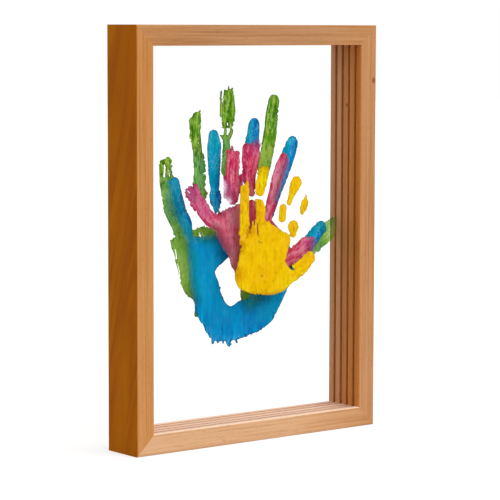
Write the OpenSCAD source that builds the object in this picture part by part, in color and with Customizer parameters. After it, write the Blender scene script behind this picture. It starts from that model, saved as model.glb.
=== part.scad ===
// Layered handprint frame.
// A mitred beech frame with four parallel grooves round its inside. Each groove holds one
// clear pane, and each pane carries one painted handprint, so the hands overlap in depth.
// The bottom corners are glued round hidden dowels. The top rail pulls up off four pegs,
// and the panes then slide out one by one.
// Origin: middle of the base, half way through the depth. +Z is up and the front faces -Y.

/* [Panes] */
// Width of each clear pane
pane_w = 210; // [180:1:420]
// Height of each clear pane
pane_h = 297; // [250:1:594]
// Thickness of each clear pane
pane_t = 2; // [1.5:0.1:4]

/* [Rails] */
// Face width of every rail, seen from the front
rail_w = 15.5; // [14:0.5:30]
// Depth of the grooves in the inner edge of every rail
groove_depth = 5; // [3:0.5:6]
// Distance from the middle of one groove to the middle of the next
groove_pitch = 7.7; // [7:0.1:15]
// Wood in front of the first groove, and behind the last one
lip_t = 5.9; // [3:0.1:12]
// Radius of the eased long edges
edge_r = 0.8; // [0.3:0.1:1.5]

/* [Fits] */
// Gap on each side of a pane in its groove
face_play = 0.3; // [0.1:0.05:0.8]
// Gap between a pane's side edge and the floor of its groove
side_play = 0.5; // [0.2:0.1:2]
// Gap between the panes' upper edge and the floor of the top rail's grooves
top_play = 0.5; // [0.2:0.1:2]
// Gap all round a glued dowel, filled with glue
glue_gap = 0.05; // [0.02:0.01:0.1]
// Gap all round a peg in the top rail, which slides on it
slide_gap = 0.08; // [0.03:0.01:0.1]
// Extra depth of a hole past the end of its dowel
hole_extra = 0.4; // [0.2:0.1:1]

/* [Dowels] */
// Diameter of the dowels and pegs
dowel_d = 4; // [3:0.5:4.5]
// Length of a dowel glued across a bottom corner
mitre_dowel_l = 12; // [8:0.5:14]
// Length of a peg at a top corner
peg_l = 18; // [12:0.5:30]
// How far a peg stands into the top rail, past the mitre
peg_rise = 6.5; // [4:0.5:7]
// Distance from a peg's axis to the outer side of the frame
peg_inset = 9; // [8:0.5:10]
// Chamfer on the ends of the dowels and pegs
dowel_chamfer = 0.5; // [0.2:0.1:1]

/* [Handprints] */
// Thickness of the dried paint
paint_t = 0.3; // [0.1:0.05:0.6]
// Bare strip that the paint leaves along the wood
paint_margin = 0.5; // [0.2:0.1:5]
// Length of the green hand, from its heel to its longest finger
green_hand = 196; // [150:1:200]
// Place of the green heel, right of the pane's middle
green_x = -9; // [-20:1:20]
// Place of the green heel, above the pane's lower edge
green_z = 64.5; // [20:0.5:80]
// Length of the blue hand, from its heel to its longest finger
blue_hand = 176; // [140:1:190]
// Place of the blue heel, right of the pane's middle
blue_x = -14; // [-20:1:20]
// Place of the blue heel, above the pane's lower edge
blue_z = 62; // [20:0.5:90]
// Length of the pink hand, from its heel to its longest finger
pink_hand = 116; // [90:1:140]
// Place of the pink heel, right of the pane's middle
pink_x = 6; // [-20:1:20]
// Place of the pink heel, above the pane's lower edge
pink_z = 104.5; // [20:0.5:130]
// Length of the yellow hand, from its heel to its longest finger
yellow_hand = 100; // [80:1:120]
// Place of the yellow heel, right of the pane's middle
yellow_x = 5; // [-20:1:20]
// Place of the yellow heel, above the pane's lower edge
yellow_z = 101; // [20:0.5:140]

/* [Hidden] */
$fn = 48;
// Straight steps in a half circle at the end of a painted finger
arc_steps = 9;

// The paint on each pane, from the front to the back
PANE_ORDER = ["yellow", "pink", "blue", "green"];
pane_count = len(PANE_ORDER);
LEFT = -1;
RIGHT = 1;
FRONT = -1;
BACK = 1;

groove_w = pane_t + 2 * face_play;
rail_depth = (pane_count - 1) * groove_pitch + groove_w + 2 * lip_t;
// Height of the bottom rail's groove floor, where the panes stand
pane_base = rail_w - groove_depth;
frame_w = pane_w + 2 * side_play + 2 * pane_base;
frame_h = pane_h + top_play + 2 * pane_base;
opening_w = frame_w - 2 * rail_w;

beech = [0.80, 0.57, 0.38];
beech_pale = [0.87, 0.67, 0.49];
dowel_wood = [0.86, 0.72, 0.52];
clear_pane = [0.93, 0.96, 0.97, 0.18];
green_paint = [0.42, 0.65, 0.13];
blue_paint = [0.05, 0.53, 0.77];
pink_paint = [0.78, 0.27, 0.48];
yellow_paint = [0.96, 0.77, 0.0];

// Painted fingers, each as one end's x, z and width and the other end's x, z and width,
// all as shares of the hand's length, counted from the heel
green_finger_shares = [
    [-0.30, 0.70, 0.06, -0.25, 0.45, 0.08],
    [-0.17, 0.89, 0.06, -0.15, 0.78, 0.04],
    [-0.15, 0.78, 0.04, -0.14, 0.60, 0.06],
    [0.00, 0.97, 0.06, -0.01, 0.87, 0.05],
    [-0.01, 0.85, 0.03, -0.01, 0.65, 0.04],
    [0.23, 0.94, 0.07, 0.17, 0.62, 0.07],
    [0.55, 0.42, 0.10, 0.36, 0.27, 0.13]
];
blue_finger_shares = [
    [-0.30, 0.73, 0.06, -0.21, 0.48, 0.06],
    [-0.09, 0.91, 0.07, -0.08, 0.74, 0.05],
    [-0.08, 0.72, 0.06, -0.07, 0.63, 0.05],
    [0.14, 0.97, 0.07, 0.12, 0.50, 0.09],
    [0.35, 0.88, 0.08, 0.21, 0.52, 0.09],
    [0.52, 0.47, 0.09, 0.36, 0.32, 0.12]
];
pink_finger_shares = [
    [-0.53, 0.67, 0.10, -0.25, 0.42, 0.13],
    [-0.18, 0.92, 0.10, -0.20, 0.63, 0.11],
    [-0.04, 0.94, 0.14, -0.04, 0.67, 0.11],
    [-0.03, 0.61, 0.05, -0.04, 0.40, 0.05],
    [0.23, 0.85, 0.10, 0.11, 0.46, 0.09],
    [0.48, 0.28, 0.13, 0.31, 0.17, 0.15]
];
yellow_finger_shares = [
    [-0.16, 0.84, 0.09, -0.17, 0.45, 0.10],
    [0.01, 0.95, 0.12, 0.00, 0.81, 0.09],
    [-0.01, 0.71, 0.08, 0.00, 0.55, 0.10],
    [0.35, 0.85, 0.12, 0.28, 0.70, 0.05],
    [0.21, 0.65, 0.08, 0.21, 0.58, 0.07],
    [0.43, 0.71, 0.08, 0.41, 0.63, 0.04],
    [0.32, 0.51, 0.11, 0.32, 0.46, 0.07],
    [0.48, 0.26, 0.12, 0.32, 0.14, 0.16]
];

// Painted palms, as shares of the hand's length, counted from the heel
green_palm_shares = [
    [-0.28, 0.41], [-0.24, 0.28], [-0.16, 0.16], [-0.16, 0.10], [-0.13, 0.10],
    [-0.06, 0.17], [0.09, 0.15], [0.22, 0.13], [0.31, 0.20], [0.36, 0.28],
    [0.30, 0.37], [0.17, 0.45], [-0.05, 0.51], [-0.11, 0.45], [-0.22, 0.46]
];
blue_palm_shares = [
    [-0.20, 0.51], [-0.19, 0.32], [-0.17, 0.20], [-0.11, 0.05], [-0.05, 0.01],
    [0.01, 0.00], [0.10, 0.02], [0.18, 0.06], [0.26, 0.12], [0.32, 0.21],
    [0.38, 0.33], [0.31, 0.47], [0.13, 0.52], [-0.06, 0.50]
];
pink_palm_shares = [
    [-0.31, 0.51], [-0.22, 0.33], [-0.17, 0.09], [0.26, 0.06], [0.32, 0.14],
    [0.27, 0.29], [0.16, 0.42], [0.07, 0.44], [-0.08, 0.43], [-0.14, 0.57]
];
yellow_palm_shares = [
    [-0.22, 0.48], [-0.25, 0.18], [-0.19, 0.05], [-0.14, 0.02], [0.00, 0.00],
    [0.10, 0.01], [0.25, 0.02], [0.28, 0.18], [0.25, 0.24], [0.27, 0.34],
    [0.30, 0.45], [0.20, 0.48], [0.08, 0.53], [-0.06, 0.55], [-0.12, 0.46]
];
// Middle of the palm that leaves no paint
no_hollow = [];
blue_hollow_shares = [
    [0.00, 0.38], [-0.08, 0.33], [-0.07, 0.29], [-0.03, 0.21], [-0.01, 0.18],
    [0.04, 0.18], [0.06, 0.19], [0.08, 0.23], [0.03, 0.30]
];
green_hollow_shares = [
    [-0.03, 0.34], [-0.10, 0.29], [-0.06, 0.20], [-0.03, 0.15], [0.03, 0.14],
    [0.05, 0.20], [0.01, 0.27]
];

// Distance from the middle of the depth to the middle of a pane's groove
function groove_y(paint) =
    (search([paint], PANE_ORDER)[0] - (pane_count - 1) / 2) * groove_pitch;

// Rectangle with round corners, from its lower left corner
module rounded_rectangle(w, h, r) {
    translate([r, 0])
        square([w - 2 * r, h]);
    translate([0, r])
        square([w, h - 2 * r]);
    for (x = [r, w - r], y = [r, h - r])
        translate([x, y])
            circle(r);
}

// Cross-section of every rail: X through the depth, Y from the outer side to the inner edge
module rail_section() {
    difference() {
        translate([-rail_depth / 2, 0])
            rounded_rectangle(rail_depth, rail_w, edge_r);
        for (paint = PANE_ORDER)
            translate([groove_y(paint) - groove_w / 2, pane_base])
                square([groove_w, rail_w]);
    }
}

// A rail along X with its outer side on Z = 0 and its grooves up, mitred at both ends
module rail(length) {
    intersection() {
        rotate([90, 0, 90])
            linear_extrude(length, center = true)
                rail_section();
        rotate([90, 0, 0])
            linear_extrude(2 * rail_depth, center = true)
                polygon([
                    [-length / 2, 0],
                    [length / 2, 0],
                    [length / 2 - rail_w, rail_w],
                    [rail_w - length / 2, rail_w]
                ]);
    }
}

// Places its child at a bottom mitre, with Z square to the joint
module at_mitre(side, row) {
    translate([side * (frame_w - rail_w) / 2, row * groove_pitch, rail_w / 2])
        rotate([0, side * 45, 0])
            children();
}

// Places its child on a top mitre, at a peg's axis
module at_peg(side, row) {
    translate([side * (frame_w / 2 - peg_inset), row * groove_pitch, frame_h - peg_inset])
        children();
}

// A round dowel with chamfered ends, from z = 0
module dowel(length) {
    r = dowel_d / 2;
    rotate_extrude()
        polygon([
            [0, 0],
            [r - dowel_chamfer, 0],
            [r, dowel_chamfer],
            [r, length - dowel_chamfer],
            [r - dowel_chamfer, length],
            [0, length]
        ]);
}

module mitre_dowel(side, row) {
    color(dowel_wood)
        at_mitre(side, row)
            translate([0, 0, -mitre_dowel_l / 2])
                dowel(mitre_dowel_l);
}

module mitre_dowel_hole(side, row) {
    at_mitre(side, row)
        cylinder(mitre_dowel_l + 2 * hole_extra, d = dowel_d + 2 * glue_gap, center = true);
}

module peg(side, row) {
    color(dowel_wood)
        at_peg(side, row)
            translate([0, 0, peg_rise - peg_l])
                dowel(peg_l);
}

// Hole for the glued end of a peg, open upwards
module peg_hole_below(side, row) {
    depth = peg_l - peg_rise + hole_extra;
    at_peg(side, row)
        translate([0, 0, -depth])
            cylinder(depth + dowel_d, d = dowel_d + 2 * glue_gap);
}

// Hole for the free end of a peg, open downwards
module peg_hole_above(side, row) {
    at_peg(side, row)
        translate([0, 0, -dowel_d])
            cylinder(peg_rise + hole_extra + dowel_d, d = dowel_d + 2 * slide_gap);
}

module stile(side) {
    color(beech)
        difference() {
            translate([side * frame_w / 2, 0, frame_h / 2])
                rotate([0, -side * 90, 0])
                    rail(frame_h);
            for (row = [FRONT, BACK]) {
                mitre_dowel_hole(side, row);
                peg_hole_below(side, row);
            }
        }
}

module left_stile() {
    stile(LEFT);
}

module right_stile() {
    stile(RIGHT);
}

module bottom_rail() {
    color(beech_pale)
        difference() {
            rail(frame_w);
            for (side = [LEFT, RIGHT], row = [FRONT, BACK])
                mitre_dowel_hole(side, row);
        }
}

module top_rail() {
    color(beech)
        difference() {
            translate([0, 0, frame_h])
                mirror([0, 0, 1])
                    rail(frame_w);
            for (side = [LEFT, RIGHT], row = [FRONT, BACK])
                peg_hole_above(side, row);
        }
}

module clear_pane(paint) {
    color(clear_pane)
        translate([-pane_w / 2, groove_y(paint) - pane_t / 2, pane_base])
            cube([pane_w, pane_t, pane_h]);
}

// Half circle of a painted finger's end, from 90 degrees before the angle to 90 after it
function finger_end(x, z, w, angle) = [
    for (i = [0 : arc_steps])
        let (a = angle - 90 + 180 * i / arc_steps)
            [x + w / 2 * cos(a), z + w / 2 * sin(a)]
];

// One painted finger, given as lengths
module finger(f) {
    angle = atan2(f[1] - f[4], f[0] - f[3]);
    polygon(concat(
        finger_end(f[0], f[1], f[2], angle),
        finger_end(f[3], f[4], f[5], angle + 180)
    ));
}

// The paint on the front of a pane, as far as the opening shows it
module handprint(paint, hand, x, z, finger_shares, palm_shares, hollow_shares) {
    translate([0, groove_y(paint) - pane_t / 2, pane_base])
        rotate([90, 0, 0])
            linear_extrude(paint_t)
                intersection() {
                    translate([paint_margin - opening_w / 2, 0])
                        square([opening_w - 2 * paint_margin, pane_h]);
                    translate([x, z])
                        difference() {
                            union() {
                                polygon(hand * palm_shares);
                                for (shares = finger_shares)
                                    finger(hand * shares);
                            }
                            if (len(hollow_shares) > 0)
                                polygon(hand * hollow_shares);
                        }
                }
}

module print_green() {
    color(green_paint)
        handprint("green", green_hand, green_x, green_z,
            green_finger_shares, green_palm_shares, green_hollow_shares);
}

module print_blue() {
    color(blue_paint)
        handprint("blue", blue_hand, blue_x, blue_z,
            blue_finger_shares, blue_palm_shares, blue_hollow_shares);
}

module print_pink() {
    color(pink_paint)
        handprint("pink", pink_hand, pink_x, pink_z,
            pink_finger_shares, pink_palm_shares, no_hollow);
}

module print_yellow() {
    color(yellow_paint)
        handprint("yellow", yellow_hand, yellow_x, yellow_z,
            yellow_finger_shares, yellow_palm_shares, no_hollow);
}

left_stile();
right_stile();
bottom_rail();
top_rail();
mitre_dowel(LEFT, FRONT);  // dowel_left_front
mitre_dowel(LEFT, BACK);  // dowel_left_back
mitre_dowel(RIGHT, FRONT);  // dowel_right_front
mitre_dowel(RIGHT, BACK);  // dowel_right_back
peg(LEFT, FRONT);  // peg_left_front
peg(LEFT, BACK);  // peg_left_back
peg(RIGHT, FRONT);  // peg_right_front
peg(RIGHT, BACK);  // peg_right_back
clear_pane("green");  // pane_green
clear_pane("blue");  // pane_blue
clear_pane("pink");  // pane_pink
clear_pane("yellow");  // pane_yellow
print_green();
print_blue();
print_pink();
print_yellow();
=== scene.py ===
import math

import bpy
import numpy as np
from mathutils import Matrix, Vector


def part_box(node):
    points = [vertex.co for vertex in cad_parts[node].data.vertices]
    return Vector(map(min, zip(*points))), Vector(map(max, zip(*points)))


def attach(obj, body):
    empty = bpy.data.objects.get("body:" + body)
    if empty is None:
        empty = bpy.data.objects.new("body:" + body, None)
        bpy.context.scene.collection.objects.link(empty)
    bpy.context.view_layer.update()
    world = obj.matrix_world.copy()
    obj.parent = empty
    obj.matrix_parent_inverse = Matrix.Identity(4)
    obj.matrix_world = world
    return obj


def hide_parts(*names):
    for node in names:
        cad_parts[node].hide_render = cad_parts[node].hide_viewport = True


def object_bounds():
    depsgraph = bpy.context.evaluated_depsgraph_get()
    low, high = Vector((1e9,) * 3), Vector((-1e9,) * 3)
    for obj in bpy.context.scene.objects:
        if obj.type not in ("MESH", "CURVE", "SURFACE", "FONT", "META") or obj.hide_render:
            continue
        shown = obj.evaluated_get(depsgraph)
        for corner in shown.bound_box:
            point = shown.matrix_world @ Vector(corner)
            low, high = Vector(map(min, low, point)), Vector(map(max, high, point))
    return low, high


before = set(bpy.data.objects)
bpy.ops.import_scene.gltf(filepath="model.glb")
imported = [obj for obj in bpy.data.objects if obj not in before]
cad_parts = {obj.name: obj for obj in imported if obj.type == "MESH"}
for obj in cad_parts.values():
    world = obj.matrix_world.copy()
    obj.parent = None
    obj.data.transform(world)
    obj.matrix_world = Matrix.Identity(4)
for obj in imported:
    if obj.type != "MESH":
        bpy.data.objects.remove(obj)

MM = 0.001
cad_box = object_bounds()

STILE_LOW, STILE_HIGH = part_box("left_stile")
FRAME_LOW, FRAME_HIGH = cad_box
HALF_WIDTH = FRAME_HIGH[0]
RAIL_WIDTH = STILE_HIGH.x - STILE_LOW.x
HALF_OPENING = HALF_WIDTH - RAIL_WIDTH


# Colours

def linear(red, green, blue):
    """A colour as seen on a screen, 0 to 255, turned into the linear values that shaders use."""
    def channel(value):
        value /= 255
        if value <= 0.04045:
            return value / 12.92
        return ((value + 0.055) / 1.055) ** 2.4
    return (channel(red), channel(green), channel(blue), 1.0)


# Camera

CAMERA_PLACE = Vector((-1.0653, -1.3561, 0.3176))
CAMERA_YAW = math.radians(38.264)
CAMERA_PITCH = math.radians(5.688)
CAMERA_ROLL = math.radians(0.145)
CAMERA_LENS = 161.9
CAMERA_SENSOR = 36
CAMERA_REACH = 50


def add_camera():
    data = bpy.data.cameras.new("camera")
    data.lens = CAMERA_LENS
    data.sensor_width = CAMERA_SENSOR
    data.clip_end = CAMERA_REACH
    camera = bpy.data.objects.new("camera", data)
    turn = Matrix.Rotation(-CAMERA_YAW, 4, "Z")
    tilt = Matrix.Rotation(math.radians(90) - CAMERA_PITCH, 4, "X")
    roll = Matrix.Rotation(CAMERA_ROLL, 4, "Z")
    camera.matrix_world = Matrix.Translation(CAMERA_PLACE) @ turn @ tilt @ roll
    bpy.context.scene.collection.objects.link(camera)
    bpy.context.scene.camera = camera


# Node trees. A span is written (from, to), or (from, to, result at from, result at to).

NOISE_MIDDLE = 0.5
NOISE_RANGE = (0.3, 0.7)
SPOT_CORE = 0.35


class Tree:
    """A material or world node tree, with short calls for the nodes that are used here."""

    def __init__(self, tree):
        self.tree = tree
        self.tree.nodes.clear()
        self.output = None

    def put(self, node, inputs):
        """Links or sets a node's inputs, from {name or number: another socket or a value}."""
        for key, value in inputs.items():
            if isinstance(value, bpy.types.NodeSocket):
                self.tree.links.new(value, node.inputs[key])
            else:
                node.inputs[key].default_value = value

    def node(self, kind, inputs=None, **settings):
        """A new node of a kind, with its inputs and its own settings."""
        made = self.tree.nodes.new(kind)
        for name, value in settings.items():
            setattr(made, name, value)
        self.put(made, inputs or {})
        return made

    def show(self, surface):
        """Makes a shader the material's surface."""
        if self.output is None:
            self.output = self.node("ShaderNodeOutputMaterial")
        self.put(self.output, {"Surface": surface})

    def coordinates(self, kind="Object"):
        return self.node("ShaderNodeTexCoord").outputs[kind]

    def attribute(self, name):
        """A value that the mesh carries at its points."""
        return self.node("ShaderNodeAttribute", attribute_name=name).outputs["Fac"]

    def split(self, vector):
        return self.node("ShaderNodeSeparateXYZ", {0: vector}).outputs

    def math(self, operation, first, second=0.0):
        return self.node("ShaderNodeMath", {0: first, 1: second}, operation=operation).outputs[0]

    def product(self, first, *others):
        for value in others:
            first = self.math("MULTIPLY", first, value)
        return first

    def weighted(self, *parts):
        """The sum of parts of (value, share), each value times its share."""
        total = 0.0
        for value, share in parts:
            total = self.math("ADD", self.math("MULTIPLY", value, share), total)
        return total

    def noise(self, scales, detail=3.0, roughness=0.5, distortion=0.0, shift=(0.0, 0.0, 0.0),
              tilt=0.0):
        """Noise with its own number of waves in a metre along each axis, tilted about X."""
        vector = self.coordinates()
        if tilt:
            turned = self.node("ShaderNodeMapping", {"Vector": vector, "Rotation": (tilt, 0, 0)})
            vector = turned.outputs[0]
        mapping = self.node("ShaderNodeMapping",
                            {"Vector": vector, "Location": shift, "Scale": scales})
        made = self.node("ShaderNodeTexNoise", {
            "Vector": mapping.outputs[0], "Scale": 1.0, "Detail": detail,
            "Roughness": roughness, "Distortion": distortion})
        return made.outputs["Fac"]

    def span(self, value, low, high, low_out=0.0, high_out=1.0):
        """Maps low..high to low_out..high_out, and holds the ends."""
        made = self.node("ShaderNodeMapRange", {
            "Value": value, "From Min": low, "From Max": high,
            "To Min": low_out, "To Max": high_out})
        return made.outputs["Result"]

    def blend(self, factor, first, second):
        """A mix of two colours: the first where the factor is 0, the second where it is 1."""
        made = self.node("ShaderNodeMix", data_type="RGBA")
        self.put(made, {"Factor": factor, 6: first, 7: second})
        return made.outputs[2]

    def ramp(self, factor, *stops):
        """A colour ramp through stops of (place, colour)."""
        made = self.node("ShaderNodeValToRGB", {"Fac": factor})
        elements = made.color_ramp.elements
        while len(elements) < len(stops):
            elements.new(position=0.5)
        for element, (place, colour) in zip(elements, stops):
            element.position = place
            element.color = colour
        return made.outputs["Color"]

    def spot(self, place, radius, stretch):
        """1 in a round spot at a place, falling to 0 at its radius, stretched along Z."""
        offset = self.node("ShaderNodeVectorMath", {0: self.coordinates(), 1: place},
                           operation="SUBTRACT")
        squeezed = self.node("ShaderNodeVectorMath",
                             {0: offset.outputs[0], 1: (1, 1, 1 / stretch)},
                             operation="MULTIPLY")
        length = self.node("ShaderNodeVectorMath", {0: squeezed.outputs[0]},
                           operation="LENGTH")
        return self.span(length.outputs["Value"], radius * SPOT_CORE, radius, 1.0, 0.0)

    def bump(self, height, strength, distance):
        made = self.node("ShaderNodeBump",
                         {"Strength": strength, "Distance": distance, "Height": height})
        return made.outputs["Normal"]


def new_material(name):
    """A new material with one Principled shader, and the Tree and shader to go on with."""
    material = bpy.data.materials.new(name)
    material.use_nodes = True
    tree = Tree(material.node_tree)
    shader = tree.node("ShaderNodeBsdfPrincipled")
    tree.show(shader.outputs["BSDF"])
    return material, tree, shader


# Wood. The scales of its noises are waves in a metre: across the grain and along it, or along
# each axis where there are three. Tones stand at their places in the noise of the wood.

STILE_TONE = (207, 147, 92)
DARKER = (-20, -23, -25)
LIGHTER = (10, 12, 15)
TONE_PLACES = (0.42, 0.55, 0.68)
# Deeper amber of the outer sides: partly the wood's cut, partly painted shade on faces turned from the
# light
SHADED_AMBER_TONES = (linear(177, 93, 0), linear(188, 104, 0), linear(198, 114, 0))
AMBER_PLACES = (0.40, 0.50, 0.62)
FLECK_BROWN = linear(138, 84, 44)
KNOT_BROWN = linear(128, 76, 40)
# Groove walls: painted shade, and in the stiles a warm painted bounce light
STILE_GROOVE_SHADE = linear(216, 136, 58)
BASE_GROOVE_SHADE = linear(226, 168, 138)
WARM_SHINE = linear(255, 214, 160)

ALONG_X, ALONG_Z = 0, 2
BROAD_SCALE = (40, 4)
BAND_SCALE = (520, 6)
FIBRE_SCALE = (1500, 18)
FLECK_SCALE = (1500, 240)
FIGURE_SCALE = (60, 7)
LINE_SCALE = (420, 9)
RIDGE_SCALE = (1, 120, 1)
GRAIN_TILT = math.radians(-15)
SEED_SHIFT = (3.7, 1.9, 5.3)
BAND_SHARE, FIBRE_SHARE, BROAD_SHARE = 0.45, 0.4, 0.25
FIGURE_SHARE, LINE_SHARE = 0.75, 0.25
RIDGE_SHARE = 0.5
FLECK_SPAN = (0.62, 0.72, 0.0, 0.34)
FLECK_DEPTH = 0.8
WOOD_ROUGHNESS = (0.44, 0.58)
WOOD_SHINE = 0.05
WOOD_BUMP = (0.35, 0.05 * MM)

# Where the frame's sides take their own tones, by looking_out, and where its lips and grooves do,
# by the place in its depth. These tones are partly painted light and shade: the outer sides' deeper
# amber is partly the wood's cut and partly painted shade, the inner faces and lips are lighter
# where light falls on them, and the groove walls hold painted shade.
MID_HEIGHT = FRAME_HIGH[2] / 2
SIDE_START, SIDE_FULL = 0.04, 0.08
FRONT_LIP = (FRAME_LOW[1], FRAME_LOW[1] * 0.75)
TOWARDS_BACK = (FRAME_LOW[1] * 0.6, FRAME_HIGH[1])
LIP_SKIN = 2 * MM
GROOVE_FACING = (0.8, 0.95)
FADE_STRENGTH = 0.8
KNOTS = [((0.1135, -0.0188, 0.2752), 2.2 * MM), ((0.1005, -0.0014, 0.2555), 1.6 * MM)]
KNOT_STRETCH = 1.4
KNOT_STRENGTH = 0.8


def tones(*middle):
    """Dark, middle and light tone of a wood whose middle tone is given as seen on a screen."""
    return tuple(linear(*(value + step for value, step in zip(middle, steps)))
                 for steps in (DARKER, (0, 0, 0), LIGHTER))


def along(axis, across_scale, along_scale):
    """Noise scales that run long along the grain's axis, ALONG_X or ALONG_Z."""
    scales = [across_scale] * 3
    scales[axis] = along_scale
    return tuple(scales)


def looking_out(tree):
    """Over 0 on the outer sides of the frame, under 0 towards its opening, 0 in front."""
    place = tree.split(tree.coordinates())
    normal = tree.split(tree.coordinates("Normal"))
    height = tree.math("SUBTRACT", place[2], MID_HEIGHT)
    return tree.weighted((normal[0], place[0]), (normal[2], height))


def beech(name, axis, wood_tones, inner_tones, seed, groove=STILE_GROOVE_SHADE, shaded_amber_sides=False,
          knots=(), fade=None):
    """Beech with its grain along an axis: fibres, soft growth bands and short brown flecks.

    The inner side has three sets of tones: of its front lip, behind that, and at the back. They are
    painted light and shade, lighter where light falls on the lip and on upward faces, and changing
    with the light inside the deep frame; the groove walls take a tone of painted shade. Shaded amber
    sides turn the outer sides a deeper amber, partly the wood's cut and partly painted shade. A fade
    is the place along X, from the middle out, where the tone starts to turn into the stiles' tone,
    and whether it does so on the left as well.
    """
    material, tree, shader = new_material(name)
    shift = tuple(seed * step for step in SEED_SHIFT)

    def grain(scale, **settings):
        return tree.noise(along(axis, *scale), shift=shift, **settings)

    broad = grain(BROAD_SCALE, detail=2)
    bands = grain(BAND_SCALE, detail=4, roughness=0.65, distortion=0.3)
    fibres = grain(FIBRE_SCALE, roughness=0.6)
    flecks = grain(FLECK_SCALE, detail=2)
    ridges = tree.noise(RIDGE_SCALE, detail=0, shift=shift)
    place = tree.split(tree.coordinates())
    outward = looking_out(tree)

    tone = tree.weighted((bands, BAND_SHARE), (fibres, FIBRE_SHARE), (broad, BROAD_SHARE))
    colour = tree.ramp(tone, *zip(TONE_PLACES, wood_tones))
    if fade:
        start, both_ends = fade
        sideways = tree.math("ABSOLUTE", place[0]) if both_ends else place[0]
        stile_colour = tree.ramp(tone, *zip(TONE_PLACES, tones(*STILE_TONE)))
        faded = tree.span(sideways, start, HALF_WIDTH, 0.0, FADE_STRENGTH)
        colour = tree.blend(faded, colour, stile_colour)

    # Inner faces: painted light and shade, lighter on the lip and where light falls, changing with
    # depth inside the frame
    inner_tone = tree.weighted((tone, 1 - RIDGE_SHARE), (ridges, RIDGE_SHARE))
    inner, behind, at_back = (tree.ramp(inner_tone, *zip(TONE_PLACES, three))
                              for three in inner_tones)
    inner = tree.blend(tree.span(place[1], *FRONT_LIP), inner, behind)
    inner = tree.blend(tree.span(place[1], *TOWARDS_BACK), inner, at_back)
    colour = tree.blend(tree.span(outward, -SIDE_FULL, -SIDE_START, 1.0, 0.0), colour, inner)
    # Groove walls take their tone of painted shade
    facing = tree.math("ABSOLUTE", tree.split(tree.coordinates("Normal"))[1])
    between_lips = tree.math("LESS_THAN", tree.math("ABSOLUTE", place[1]),
                             FRAME_HIGH[1] - LIP_SKIN)
    groove_side = tree.math("MULTIPLY", tree.span(facing, *GROOVE_FACING), between_lips)
    colour = tree.blend(groove_side, colour, groove)

    # Outer sides: a deeper amber, partly the wood's cut and partly painted shade
    if shaded_amber_sides:
        figure = grain(FIGURE_SCALE, distortion=1.2, tilt=GRAIN_TILT)
        lines = grain(LINE_SCALE, distortion=0.5, tilt=GRAIN_TILT)
        amber_tone = tree.weighted((figure, FIGURE_SHARE), (lines, LINE_SHARE))
        amber = tree.ramp(amber_tone, *zip(AMBER_PLACES, SHADED_AMBER_TONES))
        colour = tree.blend(tree.span(outward, SIDE_START, SIDE_FULL), colour, amber)

    for middle, radius in knots:
        knot = tree.math("MULTIPLY", tree.spot(middle, radius, KNOT_STRETCH), KNOT_STRENGTH)
        colour = tree.blend(knot, colour, KNOT_BROWN)
    fleck_mask = tree.span(flecks, *FLECK_SPAN)
    colour = tree.blend(fleck_mask, colour, FLECK_BROWN)
    height = tree.math("SUBTRACT", fibres, tree.math("MULTIPLY", fleck_mask, FLECK_DEPTH))
    tree.put(shader, {
        "Base Color": colour,
        "Roughness": tree.span(fibres, *NOISE_RANGE, *WOOD_ROUGHNESS),
        "Normal": tree.bump(height, *WOOD_BUMP),
        "Specular IOR Level": WOOD_SHINE,
        "Specular Tint": WARM_SHINE,
    })
    return material


DOWEL_SCALE = (1800, 1800, 60)
DOWEL_TONES = ((0.35, linear(190, 150, 98)), (0.65, linear(226, 192, 142)))
DOWEL_ROUGHNESS = (0.6, 0.75)
DOWEL_BUMP = (0.4, 0.08 * MM)


def dowel_wood():
    """Pale turned dowel rod, with its fibres along Z."""
    material, tree, shader = new_material("dowel_wood")
    fibres = tree.noise(DOWEL_SCALE, detail=4, roughness=0.6)
    tree.put(shader, {
        "Base Color": tree.ramp(fibres, *DOWEL_TONES),
        "Roughness": tree.span(fibres, *NOISE_RANGE, *DOWEL_ROUGHNESS),
        "Normal": tree.bump(fibres, *DOWEL_BUMP),
    })
    return material


# Clear panes

PANE_LOW, PANE_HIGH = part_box("pane_green")
PANE_MIDDLE = (PANE_LOW.z + PANE_HIGH.z) / 2
PANE_HALF_HEIGHT = (PANE_HIGH.z - PANE_LOW.z) / 2
PANE_IOR = 1.49
PANE_POLISH = 0.04
FACE_COLOUR = linear(250, 252, 253)
EDGE_COLOUR = linear(176, 208, 206)

# How solid the sheet looks: by its faint haze, at a glancing angle, at its edge and border
HAZE_SCALE = (40, 40, 40)
HAZE_VEIL = (0.00048, 0.00072)
GLANCE_SPAN = (0.08, 0.6, 0.0, 0.30)
SAWN_ALPHA = 0.16
BORDER_ALPHA = 0.34
BORDER_WIDTH = 3.5 * MM

SAWN_FACING = (0.2, 0.8, 1.0, 0.0)
SAWN_ROUGHNESS = 0.4
SAW_SCALE = (900, 900, 900)
SAW_BUMP = (0.3, 0.05 * MM)


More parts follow.
